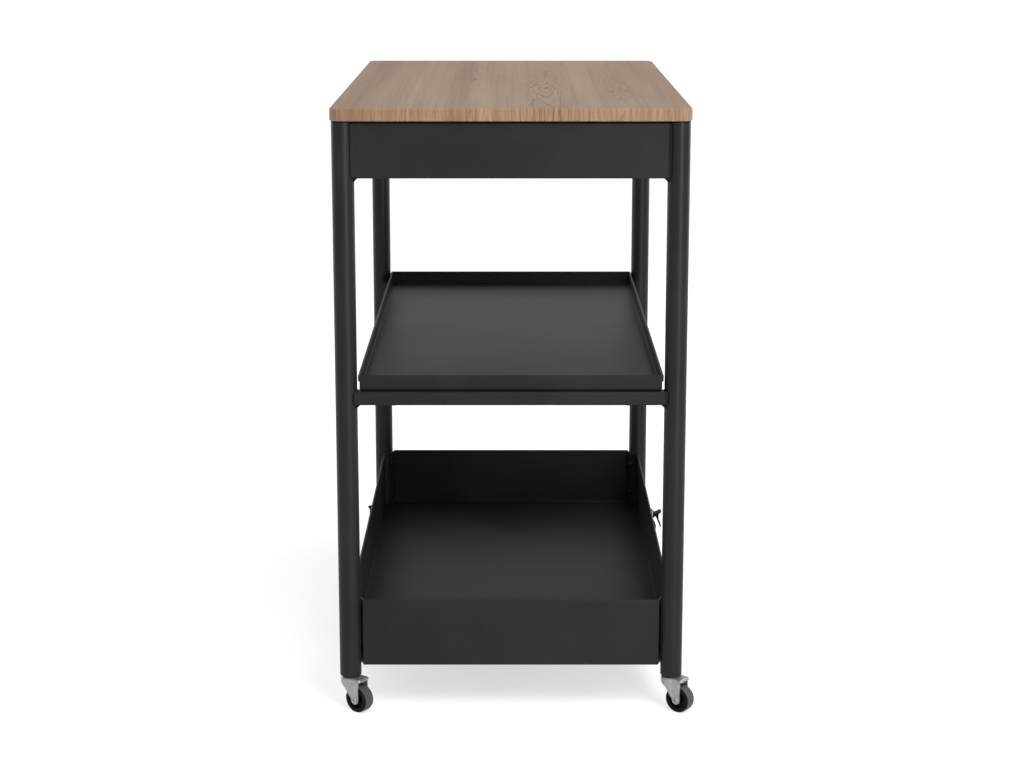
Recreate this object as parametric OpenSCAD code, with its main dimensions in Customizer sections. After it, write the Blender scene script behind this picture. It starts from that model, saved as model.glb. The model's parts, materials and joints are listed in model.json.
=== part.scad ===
// Kitchen island cart: a steel tube frame with a wooden worktop, a lipped middle tray,
// a deep bottom bin and four swivel casters, the rear two with toe brakes.
// X is the width, Y runs from the front end to the rear end, Z is up. Z = 0 is the floor.

/* [Overall size] */
// Height of the worktop above the floor
top_h = 900; // [850:5:950]
// Distance between leg centres across the width
leg_span_x = 478; // [420:2:560]
// Distance between leg centres along the length
leg_span_y = 862; // [760:2:1000]

/* [Worktop] */
// Thickness of the wooden board
board_t = 18; // [15:1:25]
// How far the board reaches past the leg centres
board_reach = 18; // [17:0.5:22]
// Plan radius of the board's corners
board_corner_r = 18; // [10:1:30]

/* [Frame] */
// Outer diameter of the leg tubes
leg_d = 32; // [30:1:34]
// Wall of the leg tubes
leg_wall = 1.5; // [1.2:0.1:2]
// Height of the aprons
apron_h = 80; // [60:1:100]
// Width of the square end rails, and depth of the aprons
rail_w = 20; // [18:1:22]
// Height of the end rails' top above the floor
rail_top = 489; // [420:1:560]

/* [Tray and bin] */
// Height of the middle tray's wall
tray_h = 23; // [18:1:40]
// Sheet thickness of the tray and the bin
sheet_t = 1.2; // [1:0.1:1.6]
// Height of the bin's floor above the ground
bin_low = 68; // [64:1:90]
// Height of the bin's wall
bin_h = 102; // [80:1:140]
// Gap between a leg and the bin's corner
bin_gap = 2.5; // [2:0.5:5]

/* [Casters] */
// Wheel diameter
wheel_d = 40; // [38:0.5:41]
// Tyre width
tyre_w = 18; // [16:0.5:18]
// Distance from the swivel axis to the axle
trail = 16.5; // [15:0.5:18]
// Plan angle in which the front casters trail, from +X
front_turn = -37; // [-180:1:180]
// Plan angle in which the rear right caster trails
rear_right_turn = 3; // [-180:1:180]
// Plan angle in which the rear left caster trails
rear_left_turn = 128; // [-180:1:180]

/* [Hidden] */
$fn = 96;

// Colours
wood_tone = [0.66, 0.56, 0.45];
coat = [0.18, 0.18, 0.18];
zinc = [0.66, 0.66, 0.65];
black_plastic = [0.06, 0.06, 0.06];
tyre_grey = [0.32, 0.32, 0.32];

// Frame
leg_x = leg_span_x / 2;
leg_y = leg_span_y / 2;
leg_r = leg_d / 2;
leg_inner_r = leg_r - leg_wall;
leg_low = 55;
cap_t = 2;
cap_plug_depth = 12;
socket_depth = 30;
board_low = top_h - board_t;
leg_top = board_low - cap_t;
apron_gap = 2;
apron_top = board_low - apron_gap;
apron_low = apron_top - apron_h;
tube_wall = 1.5;
bead = 4;
under_bead = 6.5;
top_bead = 2.5;

// Left to right, front to rear
front_left = [-leg_x, -leg_y];
front_right = [leg_x, -leg_y];
rear_left = [-leg_x, leg_y];
rear_right = [leg_x, leg_y];
corners = [front_left, front_right, rear_left, rear_right];
ends = [-1, 1];

// Worktop fixings: tab places as [x, y, turn], the turn pointing inwards
tab_w = 36;
tab_l = 44;
tab_x = leg_x - 60;
tab_y = leg_y - 70;
tab_places = [
    [-tab_x, -leg_y, 90], [tab_x, -leg_y, 90], [-tab_x, leg_y, -90], [tab_x, leg_y, -90],
    [-leg_x, -tab_y, 0], [-leg_x, tab_y, 0], [leg_x, -tab_y, 180], [leg_x, tab_y, 180]
];
tab_hole_at = 24;
tab_clear = 3;
screw_r = 2;
screw_depth = 13;
screw_head_r = 4.2;
screw_head_h = 2.6;

// Bolts of the M6 size
bolt_r = 3;
bolt_head_r = 5;
bolt_head_h = 3.3;
nut_r = 4.5;
insert_from = 4;
bolt_from = 5;
saddle_t = 4;
apron_bolt_heights = [apron_low + 20, apron_top - 20];

// Tray, with weld studs of the M5 size
tray_x = leg_x - leg_r - 3;
tray_y = leg_y;
tray_low = rail_top;
hem_t = 2;
hem_h = 9.5;
stud_r = 2.5;
stud_x = tray_x - 50;
stud_y = leg_y - 5;
stud_past_nut = 0.5;
stud_nut_r = 4.6;
stud_nut_h = 2.5;

// Bin
notch_r = leg_r + bin_gap;
bin_hem_t = 1.4;
bin_hem_h = 8;
bin_bolt_heights = [bin_low + 24, bin_low + bin_h - 24];

// Casters, drawn with the swivel axis at X = Y = 0 and the wheel trailing towards +X
wheel_r = wheel_d / 2;
axle_r = 3;
stem_r = 4;
run_gap = 0.05;
side_gap = 0.3;
fork_inner = tyre_w + 2;
fork_t = 2;
fork_outer = fork_inner + 2 * fork_t;
cup_r = fork_outer / 2 + 3;
collar_t = 1.7;
collar_r = 10;
crown_top = leg_low - collar_t - 0.5;
crown_t = 2.2;
crown_low = crown_top - crown_t;
ball_r = 1.5;
ball_ring_r = 7;
ball_count = 12;
washer_top = crown_low - 2 * ball_r - 0.2;
washer_t = 1.6;
washer_r = 9;
rivet_r = 5.5;
rivet_t = 1;
crown_front = trail + 10;
lip_h = 4;
boss_r = 6.5;
tyre_t = 4.5;
tyre_round = 1.2;
core_r = wheel_r - tyre_t;
rim_t = 2.5;
web_half = 2.5;
flange_t = 1.1;
flange_r = wheel_r - 0.8;
flange_edge = 0.3;
ring_low = core_r + 0.7;
ring_high = core_r + 1.9;
ring_depth = 0.4;
hub_r = 6.5;
axle_head_r = 4.2;
axle_head_t = 1.6;
axle_hole_r = 1.5;
axle_hole_depth = 5;
brake_pin_r = 1.8;
brake_pin_s = trail + 9;
brake_pin_z = wheel_r + 26;
toe_w = 15;

// ---------- Shapes that repeat ----------

// A rectangle of half sizes hx and hy with corners of radius r
module rounded_plate(hx, hy, r) {
    square([2 * hx - 2 * r, 2 * hy], center = true);
    square([2 * hx, 2 * hy - 2 * r], center = true);
    for (x = ends, y = ends) translate([x * (hx - r), y * (hy - r)]) circle(r);
}

// A box from one corner to the opposite one
module span(a, b) {
    translate(a) cube(b - a);
}

// A leg's outer form at a place in plan
module leg_form(at, r = leg_r) {
    translate([at[0], at[1], -1]) cylinder(r = r, h = top_h + 2);
}

// Children laid along the direction that points from a corner leg to the cart's middle
module towards_middle(at, z) {
    turn = atan2(-at[1] / abs(at[1]), -at[0] / abs(at[0]));
    translate([at[0], at[1], z]) rotate([0, 0, turn]) rotate([0, 90, 0]) children();
}

// Children laid along Y, pointing from a leg to the cart's middle
module along_side(at, z) {
    translate([at[0], at[1], z]) rotate([at[1] > 0 ? 90 : -90, 0, 0]) children();
}

// A low round head with a hexagon socket, its seat at Z = 0
module socket_head(r = bolt_head_r, h = bolt_head_h) {
    difference() {
        rotate_extrude() polygon([[0, 0], [r, 0], [r, h * 0.55], [r * 0.72, h], [0, h]]);
        translate([0, 0, h * 0.4]) cylinder(r = r * 0.44, h = h, $fn = 6);
    }
}

// ---------- Worktop ----------

module tab_screw_places() {
    for (p = tab_places) translate([p[0], p[1], 0]) rotate([0, 0, p[2]]) translate([tab_hole_at, 0, 0])
        children();
}

module worktop() {
    color(wood_tone) difference() {
        translate([0, 0, board_low]) linear_extrude(board_t)
            rounded_plate(leg_x + board_reach, leg_y + board_reach, board_corner_r);
        tab_screw_places() translate([0, 0, board_low - 1]) cylinder(r = screw_r, h = screw_depth + 1);
    }
}

module worktop_tabs() {
    color(coat) for (p = tab_places) translate([p[0], p[1], 0]) rotate([0, 0, p[2]]) difference() {
        span([tab_clear - rail_w / 2, -tab_w / 2, apron_top], [tab_l - rail_w / 2, tab_w / 2, board_low]);
        translate([tab_hole_at, 0, apron_top - 1]) cylinder(r = screw_r, h = apron_gap + 2);
    }
}

module worktop_screws() {
    color(zinc) tab_screw_places() {
        translate([0, 0, apron_top]) cylinder(r = screw_r, h = apron_gap + screw_depth);
        translate([0, 0, apron_top]) mirror([0, 0, 1]) socket_head(screw_head_r, screw_head_h);
    }
}

// ---------- Legs ----------

module leg(at) {
    color(coat) difference() {
        translate([at[0], at[1], leg_low]) cylinder(r = leg_r, h = leg_top - leg_low);
        translate([at[0], at[1], leg_low - 1]) cylinder(r = leg_inner_r, h = leg_top - leg_low + 2);
        for (z = bin_bolt_heights) towards_middle(at, z) cylinder(r = nut_r, h = leg_d);
        for (z = apron_bolt_heights) along_side(at, z) cylinder(r = nut_r, h = leg_d);
    }
}

module leg_caps() {
    color(black_plastic) for (at = corners) translate([at[0], at[1], leg_top]) {
        cylinder(r = leg_r, h = cap_t);
        translate([0, 0, -cap_plug_depth]) difference() {
            cylinder(r = leg_inner_r, h = cap_plug_depth);
            translate([0, 0, -1]) cylinder(r = leg_inner_r - 2, h = cap_plug_depth);
        }
    }
}

module leg_sockets() {
    color(black_plastic) for (at = corners) translate([at[0], at[1], leg_low]) difference() {
        cylinder(r = leg_inner_r, h = socket_depth);
        translate([0, 0, -1]) cylinder(r = stem_r, h = socket_depth + 2);
    }
}

// ---------- Aprons and rails ----------

// A hollow rectangular tube across one end, its ends shaped to fit round the legs
module end_tube(side, low, high) {
    y = side * leg_y;
    half = rail_w / 2;
    inside = half - tube_wall;
    color(coat) difference() {
        span([-leg_x, y - half, low], [leg_x, y + half, high]);
        span([-leg_x - 1, y - inside, low + tube_wall], [leg_x + 1, y + inside, high - tube_wall]);
        for (x = ends) leg_form([x * leg_x, y]);
        children();
    }
}

module stud_places(side) {
    for (x = ends) translate([x * stud_x, side * stud_y, 0]) children();
}

module mid_rail(side) {
    end_tube(side, rail_top - rail_w, rail_top)
        stud_places(side) translate([0, 0, rail_top - rail_w - 1]) cylinder(r = stud_r, h = rail_w + 2);
}

// A channel along one side, open towards the middle, with a saddle at each end that meets the leg
module side_apron(side) {
    outer = leg_x + rail_w / 2;
    inner = leg_x - rail_w / 2;
    saddle_y = leg_y - leg_r * 0.6;
    color(coat) mirror([side < 0 ? 1 : 0, 0, 0]) difference() {
        union() {
            span([outer - tube_wall, -saddle_y, apron_low], [outer, saddle_y, apron_top]);
            for (z = [apron_low, apron_top - tube_wall])
                span([inner, -saddle_y, z], [outer - tube_wall, saddle_y, z + tube_wall]);
            for (y = ends) {
                near = y * (leg_y - leg_r - saddle_t);
                far = y * saddle_y;
                span([inner, min(near, far), apron_low + tube_wall],
                     [outer - tube_wall, max(near, far), apron_top - tube_wall]);
            }
        }
        for (y = ends) {
            leg_form([leg_x, y * leg_y]);
            for (z = apron_bolt_heights) along_side([leg_x, y * leg_y], z) cylinder(r = bolt_r, h = leg_d);
        }
    }
}

module apron_bolts() {
    seat = leg_r + saddle_t;
    color(coat) for (at = corners, z = apron_bolt_heights) along_side(at, z) {
        translate([0, 0, bolt_from]) cylinder(r = bolt_r, h = seat - bolt_from);
        translate([0, 0, seat]) socket_head();
    }
}

// A threaded insert set in a leg's wall, its axis along Z and the leg's axis along Y
module leg_insert() {
    difference() {
        translate([0, 0, insert_from]) cylinder(r = nut_r, h = leg_r);
        translate([0, 0, insert_from - 1]) cylinder(r = bolt_r, h = leg_d);
        rotate([90, 0, 0]) difference() {
            cylinder(r = leg_d, h = leg_d, center = true);
            cylinder(r = leg_r, h = leg_d, center = true);
        }
    }
}

module apron_nuts() {
    color(zinc) for (at = corners, z = apron_bolt_heights) along_side(at, z) leg_insert();
}

// A fillet of weld metal beside an upright edge, filling the corner at X = Y = 0
module upright_bead(h) {
    linear_extrude(h) difference() {
        square(bead);
        translate([bead, bead]) circle(bead);
    }
}

// A fillet round the leg's inner side, filling the corner against a bar's underside at Z = 0
module round_bead(size) {
    intersection() {
        rotate_extrude() polygon([[leg_r, 0], [leg_r + size, 0], [leg_r, -size]]);
        span([0, -rail_w / 2, -2 * size], [leg_d, rail_w / 2, size]);
    }
}

module weld_beads() {
    bars = [[apron_low, apron_h], [rail_top - rail_w, rail_w]];
    corner_x = leg_x - sqrt(leg_r * leg_r - rail_w * rail_w / 4);
    color(coat) for (x = ends, y = ends) {
        for (bar = bars, face = ends) difference() {
            translate([x * corner_x, y * leg_y + face * rail_w / 2, bar[0]])
                mirror([x > 0 ? 1 : 0, 0, 0]) mirror([0, face > 0 ? 0 : 1, 0])
                    translate([-1, 0, 0]) upright_bead(bar[1]);
            leg_form([x * leg_x, y * leg_y]);
        }
        translate([x * leg_x, y * leg_y, 0]) rotate([0, 0, x > 0 ? 180 : 0]) {
            for (bar = bars) translate([0, 0, bar[0]]) round_bead(under_bead);
            translate([0, 0, rail_top]) mirror([0, 0, 1]) round_bead(top_bead);
        }
    }
}

// ---------- Middle tray ----------

// The long sides are hemmed outwards; the short ends are plain
module middle_tray() {
    rim = tray_low + tray_h;
    color(coat) difference() {
        union() {
            span([-tray_x, -tray_y, tray_low], [tray_x, tray_y, rim]);
            span([-tray_x - hem_t, -tray_y, rim - hem_h], [tray_x + hem_t, tray_y, rim]);
        }
        span([-tray_x + sheet_t, -tray_y + sheet_t, tray_low + sheet_t],
             [tray_x - sheet_t, tray_y - sheet_t, rim + 1]);
    }
}

// Studs welded under the tray's floor, each through a rail into a nut
module tray_studs() {
    length = rail_w + stud_nut_h + stud_past_nut;
    color(coat) for (y = ends) stud_places(y) translate([0, 0, tray_low - length])
        cylinder(r = stud_r, h = length);
}

module tray_nuts() {
    nut_low = rail_top - rail_w - stud_nut_h;
    color(coat) for (y = ends) stud_places(y) translate([0, 0, nut_low]) difference() {
        cylinder(r = stud_nut_r, h = stud_nut_h, $fn = 6);
        translate([0, 0, -1]) cylinder(r = stud_r, h = stud_nut_h + 2);
    }
}

// ---------- Bottom bin ----------

// Plan of the bin at a depth inside its outer face: a rectangle with a round bite at each leg
module bin_plan(depth) {
    difference() {
        square([2 * (leg_x - depth), 2 * (leg_y - depth)], center = true);
        for (at = corners) translate(at) circle(notch_r + depth);
    }
}

module bottom_bin() {
    rim = bin_low + bin_h;
    color(coat) difference() {
        translate([0, 0, bin_low]) linear_extrude(bin_h) bin_plan(0);
        translate([0, 0, bin_low + sheet_t]) linear_extrude(bin_h - bin_hem_h - sheet_t) bin_plan(sheet_t);
        translate([0, 0, rim - bin_hem_h - 1]) linear_extrude(bin_hem_h + 2) bin_plan(sheet_t + bin_hem_t);
        for (at = corners, z = bin_bolt_heights) towards_middle(at, z) cylinder(r = bolt_r, h = leg_d);
    }
}

module bin_bolts() {
    seat = notch_r + sheet_t;
    color(coat) for (at = corners, z = bin_bolt_heights) towards_middle(at, z) {
        translate([0, 0, bolt_from]) cylinder(r = bolt_r, h = seat - bolt_from);
        translate([0, 0, seat]) socket_head();
    }
}

module bin_spacers() {
    color(black_plastic) for (at = corners, z = bin_bolt_heights) difference() {
        towards_middle(at, z) difference() {
            cylinder(r = 6, h = leg_d);
            translate([0, 0, -1]) cylinder(r = bolt_r, h = leg_d + 2);
        }
        leg_form(at);
        translate([at[0], at[1], z - leg_r]) difference() {
            cylinder(r = 3 * leg_r, h = leg_d);
            translate([0, 0, -1]) cylinder(r = notch_r, h = leg_d + 2);
        }
    }
}

module bin_nuts() {
    color(zinc) for (at = corners, z = bin_bolt_heights) towards_middle(at, z) rotate([0, 0, 90])
        leg_insert();
}

// ---------- Casters ----------

module at_caster(at, turn) {
    translate([at[0], at[1], 0]) rotate([0, 0, turn]) children();
}

// Children laid along the axle, with the wheel's middle at Z = 0
module on_axle() {
    translate([trail, 0, wheel_r]) rotate([90, 0, 0]) children();
}

module caster_stems() {
    washer_low = washer_top - washer_t;
    color(zinc) for (at = corners) translate([at[0], at[1], 0]) {
        translate([0, 0, washer_low]) cylinder(r = stem_r, h = leg_low + socket_depth - 2 - washer_low);
        translate([0, 0, leg_low - collar_t]) cylinder(r = collar_r, h = collar_t);
        translate([0, 0, washer_low]) cylinder(r = washer_r, h = washer_t);
        translate([0, 0, washer_low - rivet_t]) cylinder(r = rivet_r, h = rivet_t);
    }
}

module swivel_balls() {
    color(zinc) for (at = corners, i = [0 : ball_count - 1])
        translate([at[0], at[1], (crown_low + washer_top) / 2]) rotate([0, 0, i * 360 / ball_count])
            translate([ball_ring_r, 0, 0]) sphere(ball_r, $fn = 32);
}

// Plan of the fork at a depth inside its outer face: a round cup about the stem and a straight part before it
module fork_plan(depth, front) {
    half = fork_outer / 2 - depth;
    circle(cup_r - depth);
    translate([front / 2, 0]) rounded_plate(front / 2, half, 2);
    translate([0, -half]) square([front / 2, 2 * half]);
}

// Side view of the skirt: its lower edge falls from the back to the boss round the axle
module skirt_side(braked) {
    back = cup_r + 1;
    edge = trail + boss_r;
    ear = braked ? brake_pin_s + 5 : edge;
    ear_low = braked ? brake_pin_z - 6 : wheel_r + 10;
    polygon([[-back, crown_top], [-back, crown_low - 2], [0, wheel_r + 18.5], [trail - boss_r, wheel_r],
             [edge, wheel_r], [edge, ear_low - 6], [ear, ear_low], [ear, crown_top]]);
    translate([trail, wheel_r]) circle(boss_r);
}

module fork_shell(braked) {
    front = braked ? brake_pin_s + 5 : crown_front;
    crown_end = braked ? brake_pin_s - 6 : crown_front;
    half = fork_outer / 2;
    intersection() {
        linear_extrude(crown_top) difference() {
            fork_plan(0, front);
            fork_plan(fork_t, front + 10);
        }
        rotate([90, 0, 0]) linear_extrude(2 * cup_r + 2, center = true) skirt_side(braked);
    }
    translate([0, 0, crown_low]) linear_extrude(crown_t) fork_plan(0, crown_end);
    if (!braked)
        span([front - fork_t, -half + 3, crown_top - lip_h], [front, half - 3, crown_low]);
}

module fork(braked) {
    color(zinc) difference() {
        fork_shell(braked);
        translate([0, 0, crown_low - 1]) cylinder(r = stem_r + run_gap, h = crown_t + 2);
        on_axle() cylinder(r = axle_r, h = fork_outer + 2, center = true);
        if (braked) translate([brake_pin_s, 0, brake_pin_z]) rotate([90, 0, 0])
            cylinder(r = brake_pin_r, h = fork_outer + 2, center = true);
    }
}

// Half section of the axle: a rivet with a low head and a blind hole at either end
module axle_section() {
    face = fork_outer / 2 + axle_head_t;
    profile = [
        [0, face - axle_hole_depth], [axle_hole_r, face - axle_hole_depth], [axle_hole_r, face - 0.4],
        [axle_hole_r + 0.4, face], [axle_head_r - 0.6, face], [axle_head_r, fork_outer / 2],
        [axle_r, fork_outer / 2]
    ];
    last = len(profile) - 1;
    polygon([for (p = profile) p, for (i = [last : -1 : 0]) [profile[i][0], -profile[i][1]]]);
}

module axle() {
    color(zinc) on_axle() rotate_extrude() axle_section();
}

// Half section of the wheel core: hub, web, and a rim with a flange on either side of the tyre
module core_section() {
    half = tyre_w / 2;
    hub_half = fork_inner / 2 - side_gap;
    bore = axle_r + run_gap;
    rim_r = core_r - rim_t;
    profile = [
        [bore, hub_half], [hub_r, hub_half], [hub_r, web_half], [rim_r, web_half], [rim_r, half],
        [ring_low, half], [ring_low, half - ring_depth], [ring_high, half - ring_depth], [ring_high, half],
        [flange_r - flange_edge, half], [flange_r, half - flange_edge],
        [flange_r, half - flange_t], [core_r, half - flange_t]
    ];
    last = len(profile) - 1;
    polygon([for (p = profile) p, for (i = [last : -1 : 0]) [profile[i][0], -profile[i][1]]]);
}

module wheel_core() {
    color(black_plastic) on_axle() rotate_extrude() core_section();
}

// Half section of the tyre between the core's flanges, with rounded shoulders
module tyre_section() {
    half = tyre_w / 2 - flange_t;
    translate([core_r, -half]) square([tyre_t - tyre_round, 2 * half]);
    translate([core_r, -half + tyre_round]) square([tyre_t, 2 * (half - tyre_round)]);
    for (y = ends) translate([wheel_r - tyre_round, y * (half - tyre_round)]) circle(tyre_round);
}

module tyre() {
    color(tyre_grey) on_axle() rotate_extrude() tyre_section();
}

// Side view of the brake lever's two toes and its shoe over the tyre, seen from the pin
module lever_side() {
    polygon([
        [-1, 3.4], [4.2, 4.6], [7.6, 1.9], [10.2, 0.9], [19.6, 5], [21, 4.6], [20.8, 3], [15.5, -1.4],
        [15.7, -10.5], [19.4, -19], [20.3, -26.2], [18.8, -27.4], [17.6, -24], [12.8, -11.5], [8.9, -4],
        [7.5, -6.5], [5, -8.6], [1.5, -6.3], [-1, -3.4]
    ]);
}

module brake_lever() {
    color(black_plastic) translate([brake_pin_s, 0, brake_pin_z]) rotate([90, 0, 0]) difference() {
        union() {
            linear_extrude(toe_w, center = true) lever_side();
            cylinder(r = 3.6, h = toe_w, center = true);
        }
        cylinder(r = brake_pin_r + run_gap, h = toe_w + 2, center = true);
    }
}

module brake_pin() {
    color(zinc) translate([brake_pin_s, 0, brake_pin_z]) rotate([90, 0, 0])
        cylinder(r = brake_pin_r, h = fork_outer + 1, center = true);
}

// ---------- Nodes ----------

worktop();
worktop_tabs();
worktop_screws();
leg(front_left);  // leg_front_left
leg(front_right);  // leg_front_right
leg(rear_left);  // leg_rear_left
leg(rear_right);  // leg_rear_right
leg_caps();
leg_sockets();
end_tube(-1, apron_low, apron_top);  // apron_front
end_tube(1, apron_low, apron_top);  // apron_rear
side_apron(-1);  // apron_left
side_apron(1);  // apron_right
apron_bolts();
apron_nuts();
mid_rail(-1);  // mid_rail_front
mid_rail(1);  // mid_rail_rear
weld_beads();
middle_tray();
tray_studs();
tray_nuts();
bottom_bin();
bin_bolts();
bin_spacers();
bin_nuts();
caster_stems();
swivel_balls();
at_caster(front_left, front_turn) fork(false);  // fork_front_left
at_caster(front_right, front_turn) fork(false);  // fork_front_right
at_caster(rear_left, rear_left_turn) fork(true);  // fork_rear_left
at_caster(rear_right, rear_right_turn) fork(true);  // fork_rear_right
at_caster(front_left, front_turn) axle();  // axle_front_left
at_caster(front_right, front_turn) axle();  // axle_front_right
at_caster(rear_left, rear_left_turn) axle();  // axle_rear_left
at_caster(rear_right, rear_right_turn) axle();  // axle_rear_right
at_caster(front_left, front_turn) wheel_core();  // core_front_left
at_caster(front_right, front_turn) wheel_core();  // core_front_right
at_caster(rear_left, rear_left_turn) wheel_core();  // core_rear_left
at_caster(rear_right, rear_right_turn) wheel_core();  // core_rear_right
at_caster(front_left, front_turn) tyre();  // tyre_front_left
at_caster(front_right, front_turn) tyre();  // tyre_front_right
at_caster(rear_left, rear_left_turn) tyre();  // tyre_rear_left
at_caster(rear_right, rear_right_turn) tyre();  // tyre_rear_right
at_caster(rear_left, rear_left_turn) brake_lever();  // brake_lever_rear_left
at_caster(rear_right, rear_right_turn) brake_lever();  // brake_lever_rear_right
at_caster(rear_left, rear_left_turn) brake_pin();  // brake_pin_rear_left
at_caster(rear_right, rear_right_turn) brake_pin();  // brake_pin_rear_right
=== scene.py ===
"""Looks of the kitchen island cart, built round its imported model.

Shapes are written in millimetres in the row frame: X across the width, Y from the front end to the
rear end, Z up from the floor. piece() turns them into metres.
"""

import json
import math

import bmesh
import bpy
from mathutils import Matrix, Vector


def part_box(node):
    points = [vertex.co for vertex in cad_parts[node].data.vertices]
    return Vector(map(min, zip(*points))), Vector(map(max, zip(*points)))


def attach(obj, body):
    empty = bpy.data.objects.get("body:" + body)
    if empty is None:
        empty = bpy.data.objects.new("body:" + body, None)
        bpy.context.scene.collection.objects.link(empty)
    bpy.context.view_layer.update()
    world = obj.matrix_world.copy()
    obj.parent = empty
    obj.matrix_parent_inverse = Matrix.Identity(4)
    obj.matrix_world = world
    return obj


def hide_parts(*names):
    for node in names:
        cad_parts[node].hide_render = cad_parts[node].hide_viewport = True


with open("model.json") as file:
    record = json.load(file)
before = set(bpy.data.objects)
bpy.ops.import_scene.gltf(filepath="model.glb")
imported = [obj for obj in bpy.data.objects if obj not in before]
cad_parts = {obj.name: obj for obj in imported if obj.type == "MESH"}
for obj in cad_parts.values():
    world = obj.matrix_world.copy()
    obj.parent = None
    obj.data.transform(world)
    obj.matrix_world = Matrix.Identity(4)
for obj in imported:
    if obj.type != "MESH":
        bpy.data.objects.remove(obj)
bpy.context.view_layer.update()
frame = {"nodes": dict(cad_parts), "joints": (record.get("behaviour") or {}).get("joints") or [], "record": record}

METRE = 1000.0
SCENE = bpy.context.scene
CORNERS = ("front_left", "front_right", "rear_left", "rear_right")
TURN_STEPS = 96


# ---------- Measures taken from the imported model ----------

def box_mm(node):
    """Lowest and highest corner of a CAD node, in millimetres."""
    low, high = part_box(node)
    return [c * METRE for c in low], [c * METRE for c in high]


def middle(node):
    low, high = box_mm(node)
    return [(a + b) / 2 for a, b in zip(low, high)]


JOINTS = {j["name"]: j for j in frame["joints"]}
SLOT_OF = {p["node"]: p["material_slot"] for p in frame["record"]["subparts"]}
LEG_X, LEG_Y = [abs(c) for c in middle("leg_front_right")[:2]]
LEG_R = LEG_X - abs(box_mm("leg_front_right")[0][0])
BIN_GAP = 2.5
TUBE_WALL = 1.5
SHEET_T = 1.2


def joint_at(name):
    return [c * METRE for c in JOINTS[name]["pos_m"]]


# ---------- Plane curves ----------

def arc(cx, cy, r, start, end, steps):
    """Points on an arc from one angle to another, in degrees, both ends included."""
    turns = [math.radians(start + (end - start) * i / steps) for i in range(steps + 1)]
    return [(cx + r * math.cos(t), cy + r * math.sin(t)) for t in turns]


def sweep(degrees, steps):
    """Evenly spaced turns from nothing to the given angle, in radians, both ends included."""
    return [math.radians(degrees * i / steps) for i in range(steps + 1)]


def rounded_rect(hx, hy, r, steps=8):
    """A rectangle about the origin with round corners, anticlockwise from the right side."""
    r = min(max(r, 0.05), hx, hy)
    points = []
    for k, (sx, sy) in enumerate([(1, 1), (-1, 1), (-1, -1), (1, -1)]):
        points += arc(sx * (hx - r), sy * (hy - r), r, 90 * k, 90 * k + 90, steps)
    return points


def subdivided(points, step):
    """The closed outline with its long edges cut into pieces no longer than step."""
    result = []
    for a, b in zip(points, points[1:] + points[:1]):
        count = max(1, math.ceil(math.dist(a, b) / step))
        result += [(a[0] + (b[0] - a[0]) * i / count, a[1] + (b[1] - a[1]) * i / count) for i in range(count)]
    return result


def filleted(corners, steps=5):
    """A closed outline from (x, y, radius) corners, each rounded to its radius."""
    result = []
    for i, (x, y, r) in enumerate(corners):
        before = Vector(corners[i - 1][:2])
        here = Vector((x, y))
        after = Vector(corners[(i + 1) % len(corners)][:2])
        u, v = (before - here).normalized(), (after - here).normalized()
        half = u.angle(v) / 2
        if r <= 0 or half > math.pi / 2 - 1e-3:
            result.append((x, y))
            continue
        reach = min(r / math.tan(half), (before - here).length * 0.49, (after - here).length * 0.49)
        radius = reach * math.tan(half)
        centre = here + (u + v).normalized() * (radius / math.sin(half))
        first, last = here + u * reach - centre, here + v * reach - centre
        turn = first.angle_signed(last)
        for k in range(steps + 1):
            t = -turn * k / steps
            c, s = math.cos(t), math.sin(t)
            result.append((centre.x + first.x * c - first.y * s, centre.y + first.x * s + first.y * c))
    return result


# ---------- Meshes ----------

class Shape:
    """Vertices and faces of one mesh, in millimetres."""

    def __init__(self):
        self.verts = []
        self.faces = []

    def skin(self, loops, ring=False):
        """Joins closed loops of equal length; the two ends are capped, or joined to each other."""
        rows = []
        for loop in loops:
            first = len(self.verts)
            self.verts += [tuple(p) for p in loop]
            rows.append(range(first, len(self.verts)))
        pairs = list(zip(rows, rows[1:])) + ([(rows[-1], rows[0])] if ring else [])
        for a, b in pairs:
            for i in range(len(a)):
                j = (i + 1) % len(a)
                self.faces.append((a[i], a[j], b[j], b[i]))
        if not ring:
            self.faces += [tuple(rows[0]), tuple(reversed(rows[-1]))]

    def lathe(self, profile, centre=(0, 0), steps=TURN_STEPS, ring=True):
        """Turns a closed (radius, z) profile about an upright axis."""
        turns = [2 * math.pi * i / steps for i in range(steps)]
        self.skin([[(centre[0] + r * math.cos(t), centre[1] + r * math.sin(t), z) for t in turns]
                   for r, z in profile], ring)

    def moved(self, matrix):
        self.verts = [tuple(matrix @ Vector(v)) for v in self.verts]
        return self


def mesh_object(name, shape):
    mesh = bpy.data.meshes.new(name)
    mesh.from_pydata([tuple(c / METRE for c in v) for v in shape.verts], [], shape.faces)
    work = bmesh.new()
    work.from_mesh(mesh)
    bmesh.ops.recalc_face_normals(work, faces=work.faces)
    work.to_mesh(mesh)
    work.free()
    obj = bpy.data.objects.new(name, mesh)
    SCENE.collection.objects.link(obj)
    return obj


def carved(obj, *steps):
    """Applies boolean steps to an object, each an (operation, Shape) pair."""
    for operation, shape in steps:
        cutter = mesh_object("cutter", shape)
        change = obj.modifiers.new(operation, "BOOLEAN")
        change.operation = operation
        change.solver = "EXACT"
        change.object = cutter
        bpy.context.view_layer.update()
        result = bpy.data.meshes.new_from_object(obj.evaluated_get(bpy.context.evaluated_depsgraph_get()))
        obj.modifiers.clear()
        obj.data = result
        bpy.data.objects.remove(cutter)


def soft_edges(obj, width, angle=30, segments=2):
    bevel = obj.modifiers.new("edges", "BEVEL")
    bevel.width = width / METRE
    bevel.segments = segments
    bevel.limit_method = "ANGLE"
    bevel.angle_limit = math.radians(angle)
    bevel.harden_normals = False


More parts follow.
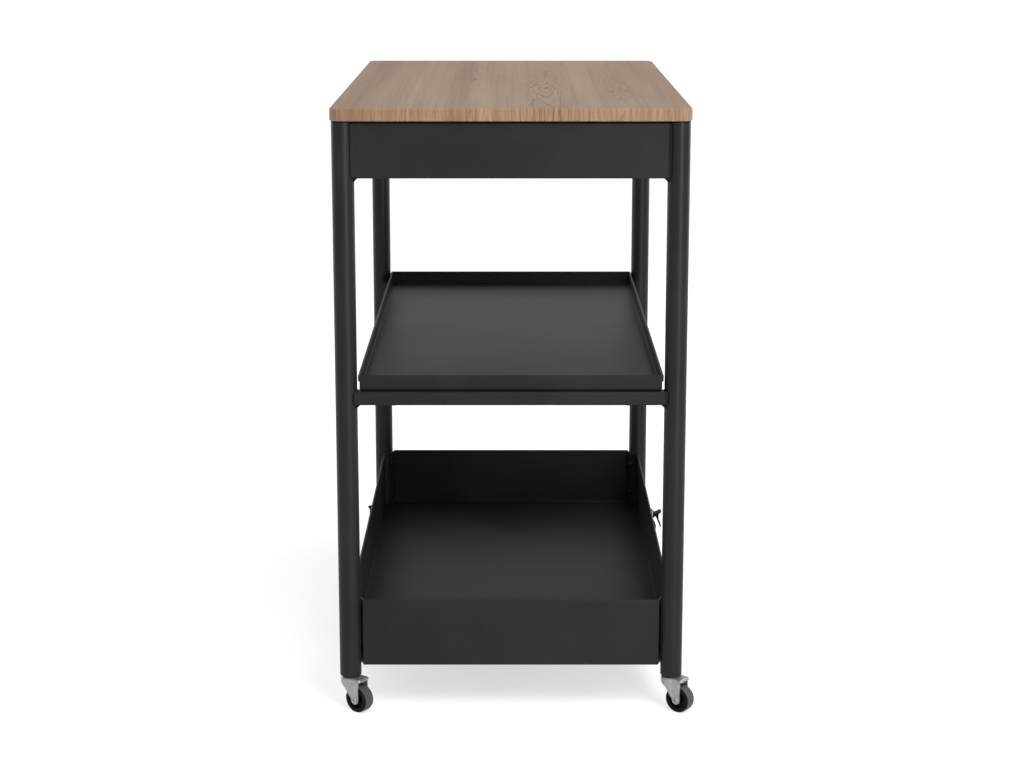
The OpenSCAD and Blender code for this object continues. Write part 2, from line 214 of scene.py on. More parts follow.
def even_normals(obj):
    normals = obj.modifiers.new("normals", "WEIGHTED_NORMAL")
    normals.keep_sharp = True
    normals.weight = 80


def finished(obj, body, slot, nodes, sharp=35, bevel=0):
    """Gives a mesh its shading, material and body, and hides the imported nodes it stands for."""
    obj.data.shade_smooth()
    obj.data.set_sharp_from_angle(angle=math.radians(180 if bevel else sharp))
    if bevel:
        soft_edges(obj, bevel)
    even_normals(obj)
    obj.data.materials.clear()
    obj.data.materials.append(MATERIALS[slot])
    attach(obj, body)
    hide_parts(*nodes)


def piece(name, shape, body, nodes, sharp=35, bevel=0):
    finished(mesh_object(name, shape), body, SLOT_OF[nodes[0]], nodes, sharp, bevel)


# ---------- Materials ----------

class Paint:
    """A material and short ways to add nodes to it. An input is a plain value or another node's output."""

    def __init__(self, name):
        self.material = bpy.data.materials.new(name)
        self.material.use_nodes = True
        self.tree = self.material.node_tree
        self.tree.nodes.clear()
        self.place = self.node("ShaderNodeTexCoord").outputs["Object"]

    def node(self, kind, inputs=None, **settings):
        made = self.tree.nodes.new(kind)
        for key, value in settings.items():
            setattr(made, key, value)
        for key, value in (inputs or {}).items():
            if isinstance(value, bpy.types.NodeSocket):
                self.tree.links.new(value, made.inputs[key])
            else:
                made.inputs[key].default_value = value
        return made

    def math(self, operation, *values):
        return self.node("ShaderNodeMath", dict(enumerate(values)), operation=operation).outputs[0]

    def times(self, a, b):
        return self.math("MULTIPLY", a, b)

    def plus(self, a, b):
        return self.math("ADD", a, b)

    def minus(self, a, b):
        return self.math("SUBTRACT", a, b)

    def larger(self, a, b):
        return self.math("MAXIMUM", a, b)

    def blend(self, a, share_a, b, share_b):
        return self.plus(self.times(a, share_a), self.times(b, share_b))

    def stretched(self, scale, offset=(0, 0, 0)):
        """The place in the object, scaled along each axis."""
        return self.node("ShaderNodeMapping", {"Vector": self.place, "Scale": scale,
                                               "Location": offset}).outputs[0]

    def noise(self, vector, scale, detail=3.0, roughness=0.55, distortion=0.0):
        settings = {"Vector": vector, "Scale": scale, "Detail": detail, "Roughness": roughness,
                    "Distortion": distortion}
        return self.node("ShaderNodeTexNoise", settings).outputs["Fac"]

    def fit(self, value, low, high, to_low=0.0, to_high=1.0):
        return self.node("ShaderNodeMapRange", {0: value, 1: low, 2: high, 3: to_low, 4: to_high}).outputs[0]

    def smooth(self, value, low, high, to_low=0.0, to_high=1.0):
        return self.node("ShaderNodeMapRange", {0: value, 1: low, 2: high, 3: to_low, 4: to_high},
                         interpolation_type="SMOOTHSTEP").outputs[0]

    def band(self, value, centre, reach, core):
        """One within core of the centre, falling to nothing at reach."""
        return self.smooth(self.math("ABSOLUTE", self.minus(value, centre)), reach, core)

    def mix(self, share, a, b):
        made = self.node("ShaderNodeMix", {0: share}, data_type="RGBA")
        for socket, value in (("A_Color", a), ("B_Color", b)):
            target = next(s for s in made.inputs if s.identifier == socket)
            if isinstance(value, bpy.types.NodeSocket):
                self.tree.links.new(value, target)
            else:
                target.default_value = (*value, 1.0)
        return next(s for s in made.outputs if s.identifier == "Result_Color")

    def steps(self, value, stops):
        """Plain tones, one for each (position, tone) stop, without blending."""
        made = self.node("ShaderNodeValToRGB", {"Fac": value})
        ramp = made.color_ramp
        ramp.interpolation = "CONSTANT"
        while len(ramp.elements) < len(stops):
            ramp.elements.new(1.0)
        for element, (position, tone) in zip(ramp.elements, stops):
            element.position = position
            element.color = (tone, tone, tone, 1.0)
        return made.outputs["Color"]

    def finish(self, inputs, height=None, depth=0.0):
        """The surface shader, with a fine relief of the given depth in millimetres."""
        if height is not None:
            bump = self.node("ShaderNodeBump", {"Height": height, "Distance": depth / METRE})
            inputs = {**inputs, "Normal": bump.outputs["Normal"]}
        shader = self.node("ShaderNodeBsdfPrincipled", inputs)
        out = self.node("ShaderNodeOutputMaterial")
        self.tree.links.new(shader.outputs[0], out.inputs["Surface"])
        return self.material


def powder_coat():
    """Charcoal powder coat: a fine grained, slightly uneven matt film."""
    p = Paint("powder coat")
    grain = p.noise(p.place, 1500.0, 2.0)
    cloud = p.noise(p.place, 9.0, 3.0)
    tone = p.fit(p.blend(grain, 0.35, cloud, 0.65), 0.35, 0.65)
    colour = p.mix(tone, (0.0058, 0.0059, 0.006), (0.0104, 0.0105, 0.0107))
    roughness = p.fit(p.blend(cloud, 0.4, grain, 0.6), 0.35, 0.65, 0.4, 0.46)
    return p.finish({"Base Color": colour, "Roughness": roughness, "Specular IOR Level": 0.165}, grain, 0.03)


def zinc_plate():
    """Satin zinc over pressed steel, with rolling marks and a cloudy passivated film."""
    p = Paint("zinc plate")
    cloud = p.noise(p.place, 160.0, 4.0)
    marks = p.noise(p.stretched((1.0, 1.0, 0.06)), 2600.0, 2.0)
    tone = p.fit(p.blend(cloud, 0.7, marks, 0.3), 0.35, 0.65)
    colour = p.mix(tone, (0.225, 0.225, 0.222), (0.325, 0.325, 0.32))
    roughness = p.fit(tone, 0.0, 1.0, 0.36, 0.26)
    return p.finish({"Base Color": colour, "Metallic": 0.7, "Roughness": roughness}, marks, 0.012)


def black_plastic():
    """Moulded black nylon with a faint sparked texture."""
    p = Paint("black plastic")
    grain = p.noise(p.place, 2200.0, 3.0)
    cloud = p.noise(p.place, 60.0, 2.0)
    colour = p.mix(p.fit(cloud, 0.35, 0.65), (0.0016, 0.0016, 0.0017), (0.0034, 0.0034, 0.0035))
    roughness = p.fit(grain, 0.35, 0.65, 0.34, 0.46)
    return p.finish({"Base Color": colour, "Roughness": roughness, "Specular IOR Level": 0.08}, grain, 0.02)


def tyre_rubber():
    """Dark grey rubber, a little dusty and duller on its raised grain."""
    p = Paint("tyre rubber")
    grain = p.noise(p.place, 1700.0, 4.0, 0.65)
    dust = p.noise(p.place, 90.0, 4.0, 0.6)
    colour = p.mix(p.fit(dust, 0.35, 0.7), (0.034, 0.034, 0.035), (0.057, 0.057, 0.058))
    roughness = p.fit(grain, 0.3, 0.7, 0.62, 0.8)
    return p.finish({"Base Color": colour, "Roughness": roughness, "Specular IOR Level": 0.3}, grain, 0.05)


# The board's figure, in metres: X across the staves, Y along them
STAVES_FROM, STAVES_TO = -0.26, 0.26
STAVE_TONES = [(0.0, 0.15), (0.21, 0.8), (0.43, 0.4), (0.68, 1.0), (0.75, 0.3)]
STAVE_HEARTS = [(0.0, 0.06), (0.21, 0.36), (0.43, 0.606), (0.68, 0.9), (0.75, 0.79)]
REDDISH_PLACES = (-0.079, -0.218)
END_GRAIN_FROM, END_GRAIN_FULL = 0.425, 0.448


def growth_rings(p, sway, share, stave, y, z):
    """Arched rings about each stave's heart, dark where the late wood of a ring lies."""
    heart = p.fit(p.steps(share, STAVE_HEARTS), 0.0, 1.0, STAVES_FROM, STAVES_TO)
    across = p.minus(sway, heart)
    arch = p.times(p.math("SQRT", p.plus(p.times(across, across), 0.00016)), -190.0)
    rough = p.times(p.noise(p.stretched((30.0, 5.0, 8.0)), 1.0, 3.0), 3.4)
    phase = p.plus(p.plus(arch, p.times(y, 17.0)), p.plus(p.times(z, 18.0), rough))
    cycle = p.math("FRACT", p.plus(phase, p.times(stave, 7.0)))
    return p.times(p.smooth(cycle, 0.35, 0.9), p.smooth(cycle, 1.0, 0.93))


def swirling_lines(p, sway, y):
    """Thin nested lines in three places where the grain swirls."""
    middle_place = p.times(p.band(sway, 0.052, 0.04, 0.018), p.smooth(y, 0.32, 0.1))
    right_place = p.times(p.band(sway, 0.166, 0.032, 0.014), p.band(y, -0.06, 0.34, 0.16))
    left_place = p.times(p.band(sway, -0.072, 0.032, 0.012), p.band(y, 0.16, 0.24, 0.1))
    places = p.larger(p.larger(middle_place, right_place), left_place)
    level = p.noise(p.stretched((40.0, 2.9, 1.0), (0.4, 0.2, 0.0)), 1.0, 1.0, 0.3, 0.3)
    contour = p.math("FRACT", p.times(level, 13.0))
    return p.times(places, p.times(p.smooth(contour, 0.58, 0.86), p.smooth(contour, 1.0, 0.94)))


def wood():
    """Ash-like staves along Y: growth rings with arched figure, fibres, pores and end grain."""
    p = Paint("wood")
    x, y, z = p.node("ShaderNodeSeparateXYZ", {"Vector": p.place}).outputs
    drift = p.noise(p.stretched((9.0, 1.3, 1.0)), 1.0, 2.0)
    sway = p.plus(x, p.times(p.minus(drift, 0.5), 0.035))
    share = p.fit(x, STAVES_FROM, STAVES_TO)
    stave = p.steps(share, STAVE_TONES)
    late = growth_rings(p, sway, share, stave, y, z)
    swirls = swirling_lines(p, sway, y)
    fibre = p.noise(p.stretched((1.0, 0.018, 0.05)), 900.0, 4.0, 0.6)
    streak = p.noise(p.stretched((1.0, 0.012, 0.05), (0.3, 0.0, 0.0)), 130.0, 4.0, 0.6)
    broad = p.noise(p.stretched((11.0, 1.6, 2.0), (2.0, 0.7, 0.0)), 1.0, 3.0)
    pores = p.smooth(p.noise(p.stretched((1.0, 0.03, 1.0), (0.0, 0.5, 0.0)), 1500.0, 2.0), 0.62, 0.75)
    zones = [p.band(sway, place, reach, 0.004) for place, reach in zip(REDDISH_PLACES, (0.03, 0.028))]
    reddish = p.times(p.larger(*zones), p.smooth(streak, 0.3, 0.6, 0.25, 0.8))
    end = p.smooth(p.math("ABSOLUTE", y), END_GRAIN_FROM, END_GRAIN_FULL)
    ticks = p.smooth(p.noise(p.stretched((1.0, 0.02, 0.03), (0.7, 0.0, 0.0)), 340.0, 3.0, 0.6), 0.5, 0.64)
    tone = p.mix(p.smooth(broad, 0.35, 0.7), (0.226, 0.148, 0.09), (0.164, 0.104, 0.062))
    layers = [
        (p.fit(stave, 0.0, 1.0, 0.0, 0.6), (0.274, 0.187, 0.119)),
        (p.times(end, 0.25), (0.33, 0.205, 0.125)),
        (reddish, (0.155, 0.082, 0.045)),
        (p.times(late, 0.42), (0.118, 0.062, 0.034)),
        (p.times(swirls, 0.75), (0.07, 0.037, 0.021)),
        (p.smooth(streak, 0.42, 0.72, 0.0, 0.6), (0.142, 0.082, 0.045)),
        (p.times(p.times(ticks, end), 0.65), (0.13, 0.056, 0.03)),
        (p.fit(fibre, 0.3, 0.7, 0.0, 0.3), (0.126, 0.076, 0.044)),
        (p.times(pores, 0.4), (0.06, 0.032, 0.018)),
    ]
    for cover, layer_tone in layers:
        tone = p.mix(cover, tone, layer_tone)
    roughness = p.fit(p.plus(fibre, p.times(late, 0.4)), 0.3, 1.1, 0.56, 0.44)
    height = p.minus(p.times(fibre, 0.5), p.plus(pores, p.times(late, 0.2)))
    return p.finish({"Base Color": tone, "Roughness": roughness, "Specular IOR Level": 0.3}, height, 0.05)


def floor_paint():
    """Matt white studio floor, lit a little from below as a light table is."""
    p = Paint("studio floor")
    cloud = p.noise(p.place, 0.7, 2.0)
    colour = p.mix(cloud, (0.42, 0.42, 0.421), (0.435, 0.435, 0.436))
    return p.finish({"Base Color": colour, "Roughness": 0.9, "Specular IOR Level": 0.1,
                     "Emission Color": (1.0, 1.0, 1.0, 1.0), "Emission Strength": 0.6})


MATERIALS = {
    "wood": wood(),
    "powder_coat": powder_coat(),
    "zinc_plate": zinc_plate(),
    "black_plastic": black_plastic(),
    "tyre_rubber": tyre_rubber(),
}


# ---------- Worktop ----------

def quarter(r, steps=5):
    """(inset, rise) pairs of a quarter round, from the flat face to the upright face."""
    return [(r - r * math.sin(t), r - r * math.cos(t)) for t in sweep(90, steps)]


def board():
    low, high = box_mm("worktop")
    half = [(high[i] - low[i]) / 2 for i in (0, 1)]
    corner = 18.0
    loops = [(inset, low[2] + rise) for inset, rise in quarter(1.6)]
    loops += [(inset, high[2] - rise) for inset, rise in reversed(quarter(2.4))]
    shape = Shape()
    shape.skin([[(px, py, z) for px, py in rounded_rect(half[0] - d, half[1] - d, corner - d, 14)]
                for d, z in loops])
    piece("wood_board", shape, "frame", ["worktop"])


# ---------- Legs, end bars and welds ----------

def leg(corner):
    node = "leg_" + corner
    low, high = box_mm(node)
    x, y, _ = middle(node)
    inner = LEG_R - TUBE_WALL
    shape = Shape()
    shape.lathe([(LEG_R - d, low[2] + up) for d, up in quarter(0.6, 3)]
                + [(LEG_R - d, high[2] - up) for d, up in reversed(quarter(0.6, 3))]
                + [(inner, high[2]), (inner, low[2])], (x, y))
    piece("leg_tube_" + corner, shape, "frame", [node])


def end_bar(node):
    """A square-cornered tube whose ends are shaped to the round legs."""
    low, high = box_mm(node)
    y_mid = (low[1] + high[1]) / 2
    z_mid = (low[2] + high[2]) / 2
    half_y, half_z = (high[1] - low[1]) / 2, (high[2] - low[2]) / 2

    def end(section, side):
        return [(side * (LEG_X - math.sqrt(LEG_R ** 2 - dy ** 2) + 0.05), y_mid + dy, z_mid + dz)
                for dy, dz in section]

    outer = subdivided(rounded_rect(half_y, half_z, 2.4, 6), 3)
    inner = [(dy * (half_y - TUBE_WALL) / half_y, dz * (half_z - TUBE_WALL) / half_z) for dy, dz in outer]
    shape = Shape()
    shape.skin([end(outer, -1), end(outer, 1), end(inner, 1), end(inner, -1)], ring=True)
    piece("bar_" + node, shape, "frame", [node])


BEAD_SINK = 0.3
UPRIGHT_BEAD, UNDER_BEAD, TOP_BEAD = 3.7, 6.3, 2.7
BEAD_HALF_WIDTH = 8.0


def fillet_section(size):
    """A slightly hollow triangle that fills the corner at the origin."""
    return [(0.0, 0.0), (size, 0.0), (0.6 * size, 0.36 * size), (0.36 * size, 0.6 * size), (0.0, size)]


def weld_runs():
    """Beads beside the upright edges and under the bars, with the fine ripple of a weld."""
    shape = Shape()
    half = middle("mid_rail_front")[1] - box_mm("mid_rail_front")[0][1]
    corner_x = LEG_X - math.sqrt(LEG_R ** 2 - half ** 2)
    bars = [(low[2], high[2]) for low, high in (box_mm("apron_front"), box_mm("mid_rail_front"))]
    for sx in (-1, 1):
        for sy in (-1, 1):
            for face in (-1, 1):
                for z_low, z_high in bars:
                    upright_run(shape, sx, sy, face, corner_x, half, z_low + 1.2, z_high - 1.2)
            for z_low, _ in bars:
                round_run(shape, sx, sy, z_low + BEAD_SINK, -1, UNDER_BEAD)
            round_run(shape, sx, sy, bars[1][1] - BEAD_SINK, 1, TOP_BEAD)
    piece("weld_runs", shape, "frame", ["weld_beads"])


def upright_run(shape, sx, sy, face, corner_x, half, z_low, z_high):
    """A rippled bead up one edge between a leg and a bar, thinner at its two ends."""
    count = int((z_high - z_low) / 1.1)
    loops = []
    for i in range(count + 1):
        z = z_low + (z_high - z_low) * i / count
        size = UPRIGHT_BEAD + 0.22 * math.sin(i * 2.4) - (1.6 if i in (0, count) else 0)
        loop = []
        for along, out in fillet_section(size):
            x = corner_x - along + 0.9 * (1 - along / size)
            y = sy * LEG_Y + face * (half - BEAD_SINK + out)
            loop.append((sx * x, y, z))
        loops.append(loop)
    shape.skin(loops)


def round_run(shape, sx, sy, z, way, size):
    """A bead round the leg's inner side where a bar's flat face meets it."""
    reach = math.degrees(math.asin(BEAD_HALF_WIDTH / LEG_R))
    start = LEG_R - BEAD_SINK
    count = 14
    loops = []
    for i in range(count + 1):
        turn = math.radians(-reach + 2 * reach * i / count)
        part = size - (0.8 if i in (0, count) else 0)
        loops.append([(sx * LEG_X - sx * (start + out) * math.cos(turn),
                       sy * LEG_Y + (start + out) * math.sin(turn), z + way * up)
                      for out, up in fillet_section(part)])
    shape.skin(loops)


# ---------- Tray and bin ----------

def tray():
    """Folded sheet whose long sides have an outward hem with a round folded edge."""
    low, high = box_mm("middle_tray")
    hem, hem_height, rim, bend, fold, corner = 2.0, 9.5, 1.6, 1.0, 2.2, 2.4
    hx, hy = (high[0] - low[0]) / 2 - hem, (high[1] - low[1]) / 2
    bottom, top = low[2], high[2]
    hem_low = top - hem_height
    path = [(-SHEET_T - bend + bend * math.sin(t), bottom + SHEET_T + bend - bend * math.cos(t))
            for t in sweep(90, 4)]
    path += [((hem - SHEET_T) / 2 - rim * math.cos(t), top - rim + rim * math.sin(t)) for t in sweep(180, 12)]
    path += [(hem, hem_low + 0.5), (hem - 0.15, hem_low + 0.15), (hem - 0.5, hem_low), (0.0, hem_low - 0.02)]
    path += [(-fold + fold * math.cos(t), bottom + fold - fold * math.sin(t)) for t in sweep(90, 5)]
    shape = Shape()
    shape.skin([[(px, py, z) for px, py in rounded_rect(hx + d, hy + min(d, 0), corner + min(d, 0), 6)]
                for d, z in path])
    piece("sheet_tray", shape, "frame", ["middle_tray"])


def bin_outline(depth):
    """A rectangle with a round bite at each leg, at a depth inside its outer face."""
    soft = max(0.9 - depth, 0.1)
    bite = LEG_R + BIN_GAP + depth
    side = depth + soft
    reach = math.sqrt((bite + soft) ** 2 - side ** 2)
    phi = math.degrees(math.atan2(reach, side))
    quarter_points = arc(LEG_X - side, LEG_Y - reach, soft, 0, phi, 5)
    quarter_points += arc(LEG_X, LEG_Y, bite, phi + 180, 270 - phi, 16)[1:-1]
    quarter_points += arc(LEG_X - reach, LEG_Y - side, soft, 90 - phi, 90, 5)
    points = []
    for sx, sy in [(1, 1), (-1, 1), (-1, -1), (1, -1)]:
        part = [(sx * px, sy * py) for px, py in quarter_points]
        points += part if sx * sy > 0 else part[::-1]
    return points


def bin_box():
    """Folded sheet with its rim turned inwards and rounded."""
    low, high = box_mm("bottom_bin")
    rim, hem_height, bend, fold = 1.3, 8.0, 1.0, 2.2
    bottom, top = low[2], high[2]
    hem_low = top - hem_height
    path = [(SHEET_T + bend - bend * math.sin(t), bottom + SHEET_T + bend - bend * math.cos(t))
            for t in sweep(90, 4)]
    path += [(SHEET_T + 0.02, hem_low - 0.02), (2 * rim - 0.5, hem_low), (2 * rim - 0.15, hem_low + 0.15)]
    path += [(2 * rim, hem_low + 0.5)]
    path += [(rim + rim * math.cos(t), top - rim + rim * math.sin(t)) for t in sweep(180, 12)]
    path += [(fold - fold * math.cos(t), bottom + fold - fold * math.sin(t)) for t in sweep(90, 5)]
    shape = Shape()
    shape.skin([[(px, py, z) for px, py in bin_outline(d)] for d, z in path])
    piece("sheet_bin", shape, "frame", ["bottom_bin"])


# ---------- Casters ----------

FORK_HALF = 12.0          # from the middle to a cheek's outer face
FORK_CUP = 15.0           # outer radius of the round back
FORK_SHEET = 2.0
FORK_ROLL = 3.2           # radius of the rolled upper edge
FORK_CORNER = 3.6         # radius of the front corners, seen from above
FORK_LOW = 8.0            # the skin's lower end, before it is cut to its side view
CROWN_SHEET = 2.2
STEM_HOLE = 4.05
BOSS = 6.5                # radius of the boss round the axle
PLAIN_FRONT = 10.0        # how far a plain fork reaches past its axle
BRAKED_FRONT = 30.5       # how far a braked fork reaches from its stem
CROWN_END = 19.5          # where a braked fork's crown stops and its lever begins
LEVER_HALF = 7.5
LEVER_HUB = 3.6
LEVER_BORE = 1.86
TOE_BACK = (10.2, 0.9)    # the two ends of the toe's upper face, from the lever's pin
TOE_FRONT = (19.6, 5.0)
TOE_RIDGES = 4


class Caster:
    """One caster, drawn with its swivel axis at the origin and its wheel trailing towards +X."""

    def __init__(self, corner):
        self.corner = corner
        swivel, spin = joint_at("swivel_" + corner), joint_at("spin_" + corner)
        away = Vector(spin[:2]) - Vector(swivel[:2])
        self.trail, self.axle_z = away.length, spin[2]
        self.place = Matrix.Translation((swivel[0], swivel[1], 0)) @ Matrix.Rotation(
            math.atan2(away.y, away.x), 4, "Z")
        self.on_axle = self.place @ Matrix.Translation((self.trail, 0, self.axle_z)) @ Matrix.Rotation(
            math.pi / 2, 4, "X")
        self.braked = "brake_" + corner in JOINTS
        self.top = box_mm("fork_" + corner)[1][2]

    def build(self):
        self.fork()
        self.axle()
        self.core()
        self.tyre()
        if self.braked:
            pin = joint_at("brake_" + self.corner)
            self.lever(self.place.inverted() @ Vector(pin))

    def fork(self):
        """A pressed cup round the wheel, cut to its side view, its edges rolled."""
        front = BRAKED_FRONT if self.braked else self.trail + PLAIN_FRONT
        skin = [(d, self.top - up) for d, up in quarter(FORK_ROLL, 5)]
        skin += [(0.0, FORK_LOW), (FORK_SHEET, FORK_LOW), (FORK_SHEET, self.top - 3.5)]
        skin += [(FORK_SHEET + 0.4, self.top - 2.6), (FORK_SHEET + 1.3, self.top - CROWN_SHEET)]
        loops = []
        for d, z in skin:
            outline = self.fork_outline(FORK_HALF - d, FORK_CUP - d, front - d, FORK_CORNER - d)
            loops.append([(px, py, z) for px, py in outline])
        first = math.degrees(math.atan2(loops[0][0][1], loops[0][0][0]))
        hole = arc(0, 0, STEM_HOLE, first, first + 360, len(loops[0]))[:-1]
        loops = [[(px, py, self.top) for px, py in hole]] + loops
        loops += [[(px, py, self.top - CROWN_SHEET) for px, py in hole]]
        shape = Shape()
        shape.skin(loops, ring=True)
        obj = mesh_object("fork_sheet_" + self.corner, shape.moved(self.place))
        steps = [("INTERSECT", self.prism(self.fork_side(front), FORK_CUP + 1))]
        if self.braked:
            # The cutter is a little wider than the gap: flush with its walls, it leaves stray faces.
            between = [(CROWN_END, 0.0), (40.0, 0.0), (40.0, 60.0), (CROWN_END, 60.0)]
            steps.append(("DIFFERENCE", self.prism(between, FORK_HALF - FORK_SHEET + 0.05)))
        carved(obj, *steps)
        finished(obj, "swivel_" + self.corner, "zinc_plate", ["fork_" + self.corner], bevel=0.35)

    @staticmethod
    def fork_outline(half, cup, front, corner):
        corner = max(corner, 0.3)
        meet = math.degrees(math.asin(half / cup))
        points = arc(0, 0, cup, meet, 360 - meet, 30)
        points += [(front * 0.45, -half), (front * 0.7, -half)]
        points += arc(front - corner, -half + corner, corner, 270, 360, 5)
        points += arc(front - corner, half - corner, corner, 0, 90, 5)
        points += [(front * 0.7, half), (front * 0.45, half)]
        return points

    def fork_side(self, front):
        """Side view: the lower edge falls from the back to the boss round the axle."""
        s, z = self.trail, self.axle_z
        boss_back, boss_front = s - BOSS, s + BOSS
        rear = filleted([(-16.5, 60.0, 0), (-16.5, 47.2, 0), (0.0, 38.8, 14), (10.2, 20.5, 6),
                         (boss_back, z, 0)])
        side = rear[:-1] + arc(s, z, BOSS, 180, 360, 20)
        if self.braked:
            side += [(boss_front, z + 14), (front + 1, z + 20)]
        else:
            edge = self.top - 4.0
            side += [(boss_front, self.top - 4.6), (boss_front + 0.6, edge), (front + 1, edge)]
        return side + [(front + 1, 60.0)]

    def prism(self, outline, half_width):
        """An outline in the (trail, up) plane, extruded to both sides."""
        shape = Shape()
        shape.skin([[(s, -half_width, z) for s, z in outline], [(s, half_width, z) for s, z in outline]])
        return shape.moved(self.place)

    def turned(self, name, profile, body, node, sharp=35):
        """A closed (radius, along the axle) profile turned about the axle."""
        shape = Shape()
        shape.lathe(profile)
        piece(name + "_" + self.corner, shape.moved(self.on_axle), body, [node + "_" + self.corner], sharp)

    def axle(self):
        head = [(0.01, 8.6), (1.5, 8.6), (1.55, 13.1), (1.9, 13.6), (3.0, 13.6), (3.6, 13.4),
                (4.05, 12.9), (4.2, 12.4), (4.2, 12.0), (3.0, 12.0)]
        shape = Shape()
        shape.lathe(head + [(r, -a) for r, a in reversed(head)], steps=48, ring=False)
        piece("axle_rivet_" + self.corner, shape.moved(self.on_axle), "swivel_" + self.corner,
              ["axle_" + self.corner])

    def core(self):
        side = [(3.05, 9.3), (3.4, 9.65), (5.9, 9.65), (6.4, 9.2), (6.6, 3.6), (7.2, 2.7), (8.8, 2.5),
                (9.1, 3.5), (10.0, 3.5), (10.3, 2.5), (12.0, 2.7), (12.7, 6.9), (13.1, 8.7), (13.4, 9.0),
                (16.1, 9.0), (16.3, 8.65), (17.2, 8.65), (17.4, 9.0), (18.8, 9.0), (19.1, 8.85),
                (19.2, 8.5), (19.2, 7.9), (15.5, 7.9)]
        self.turned("wheel_core", side + [(r, -a) for r, a in reversed(side)], "wheel_" + self.corner,
                    "core", 30)

    def tyre(self):
        side = [(15.5, 7.88), (19.0, 7.88), (19.4, 7.7), (19.75, 7.3), (19.95, 6.6), (20.0, 5.8), (20.0, 2.0)]
        self.turned("wheel_tyre", side + [(r, -a) for r, a in reversed(side)], "wheel_" + self.corner,
                    "tyre", 40)

    def lever(self, pin):
        """A rocking lever: a ridged toe to press, a lower toe to lift, and a shoe over the tyre."""
        s, _, z = pin
        slope = (TOE_FRONT[1] - TOE_BACK[1]) / (TOE_FRONT[0] - TOE_BACK[0])
        ridges = []
        for k in range(TOE_RIDGES):
            start = 12.4 + 1.8 * k
            for along, up in ((0.0, 0.0), (0.25, 0.4), (0.85, 0.4), (1.1, 0.0)):
                face = TOE_BACK[1] + slope * (start + along - TOE_BACK[0])
                ridges.append((start + along, face + up, 0.12))
        shoe = [(-1.0, 3.4, 0.5), (-1.0, -3.4, 0.5), (1.5, -6.3, 1.5), (5.0, -8.6, 0.8), (7.5, -6.5, 0.8)]
        lower_toe = [(8.9, -4.0, 1.2), (12.8, -11.5, 6.0), (17.6, -24.0, 3.0), (18.8, -27.4, 0.8),
                     (20.3, -26.2, 0.8), (19.4, -19.0, 5.0), (15.7, -10.5, 5.0), (15.5, -1.4, 2.0)]
        upper_toe = [(20.8, 3.0, 0.6), (21.0, 4.6, 0.6), (*TOE_FRONT, 0.4), *reversed(ridges),
                     (*TOE_BACK, 1.5), (7.6, 1.9, 1.5), (4.2, 4.6, 1.2)]
        outline = filleted(shoe + lower_toe + upper_toe, 4)
        side = self.prism([(s + a, z + b) for a, b in outline], LEVER_HALF)
        obj = mesh_object("brake_toe_" + self.corner, side)
        hub, bore = Shape(), Shape()
        for rod, r, end, steps in ((hub, LEVER_HUB, LEVER_HALF, 64), (bore, LEVER_BORE, LEVER_HALF + 1, 48)):
            rod.lathe([(0.01, end), (r, end), (r, -end), (0.01, -end)], steps=steps, ring=False)
        about_pin = self.place @ Matrix.Translation((s, 0, z)) @ Matrix.Rotation(math.pi / 2, 4, "X")
        carved(obj, ("UNION", hub.moved(about_pin)), ("DIFFERENCE", bore.moved(about_pin)))
        finished(obj, "brake_" + self.corner, "black_plastic", ["brake_lever_" + self.corner], bevel=0.3)


# ---------- CAD pieces that keep their shape ----------

# Each node, and the width of the bevel modifier on its edges
KEPT = {
    "worktop_tabs": 0.4, "worktop_screws": 0.25, "leg_caps": 0.3, "leg_sockets": 0.3,
    "apron_left": 0.5, "apron_right": 0.5, "apron_bolts": 0.25, "apron_nuts": 0.2,
    "tray_studs": 0.3, "tray_nuts": 0.2, "bin_bolts": 0.25, "bin_spacers": 0.3, "bin_nuts": 0.2,
    "caster_stems": 0.25, "swivel_balls": 0.0, "brake_pin_rear_left": 0.2, "brake_pin_rear_right": 0.2,
}


def keep_node(node, bevel):
    obj = frame["nodes"][node]
    obj.data.materials.clear()
    obj.data.materials.append(MATERIALS[SLOT_OF[node]])
    if bevel:
        flat = obj.modifiers.new("flat faces", "DECIMATE")
        flat.decimate_type = "DISSOLVE"
        flat.angle_limit = math.radians(0.6)
        soft_edges(obj, bevel, 35)
        even_normals(obj)


# ---------- Camera, floor and light ----------

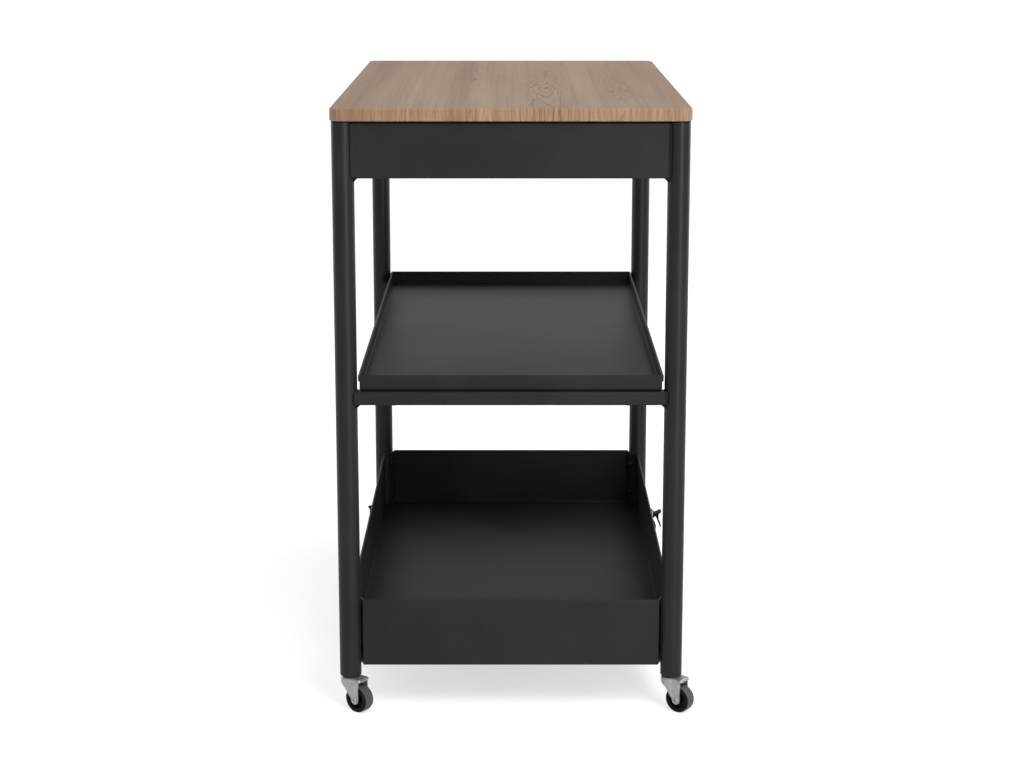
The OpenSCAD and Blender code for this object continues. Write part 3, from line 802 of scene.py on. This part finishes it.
def camera():
    data = bpy.data.cameras.new("camera")
    data.lens = 73.29
    data.sensor_width = 36.0
    data.shift_x = 0.0011
    data.shift_y = -60 / 1024
    data.clip_end = 200.0
    obj = bpy.data.objects.new("camera", data)
    SCENE.collection.objects.link(obj)
    obj.location = (0.0, -3.3793, 1.1876)
    obj.rotation_euler = (math.radians(90 - 11.5), 0.0, 0.0)
    SCENE.camera = obj


def floor():
    reach = 30.0 * METRE
    shape = Shape()
    shape.verts = [(-reach, -reach, 0), (reach, -reach, 0), (reach, reach, 0), (-reach, reach, 0)]
    shape.faces = [(0, 1, 2, 3)]
    obj = mesh_object("studio_floor", shape)
    obj.data.materials.append(floor_paint())


def lamp(name, kind, place, target, power, size):
    """A white lamp: an area's size is in metres, a sun's in degrees across."""
    data = bpy.data.lights.new(name, kind)
    data.energy = power
    if kind == "AREA":
        data.shape = "RECTANGLE"
        data.size, data.size_y = size
    else:
        data.angle = math.radians(size)
    obj = bpy.data.objects.new(name, data)
    SCENE.collection.objects.link(obj)
    obj.location = place
    obj.rotation_euler = (Vector(target) - Vector(place)).to_track_quat("-Z", "Y").to_euler()


def light():
    world = bpy.data.worlds.new("studio")
    world.use_nodes = True
    background = world.node_tree.nodes["Background"]
    background.inputs["Color"].default_value = (1.0, 1.0, 1.0, 1.0)
    background.inputs["Strength"].default_value = 0.75
    SCENE.world = world
    lamp("key", "AREA", (1.3, -2.5, 3.1), (0.0, 0.0, 0.6), 90.0, (1.6, 2.0))
    lamp("front_strip", "AREA", (1.35, -2.9, 0.6), (0.0, -0.43, 0.5), 34.0, (0.3, 1.1))
    lamp("back_left", "AREA", (-2.6, 1.6, 1.4), (0.0, 0.0, 0.5), 25.0, (0.8, 2.2))
    lamp("back_right", "AREA", (2.6, 1.8, 1.4), (0.0, 0.0, 0.5), 25.0, (0.8, 2.2))
    lamp("overhead", "SUN", (0.3, -0.3, 3.0), (0.0, 0.0, 0.0), 1.0, 60.0)


# ---------- Build ----------

board()
for corner_name in CORNERS:
    leg(corner_name)
for bar_node in ("apron_front", "apron_rear", "mid_rail_front", "mid_rail_rear"):
    end_bar(bar_node)
weld_runs()
tray()
bin_box()
for corner_name in CORNERS:
    Caster(corner_name).build()
for kept_node, kept_bevel in KEPT.items():
    keep_node(kept_node, kept_bevel)
floor()
light()
camera()
SCENE.view_settings.view_transform = "Standard"
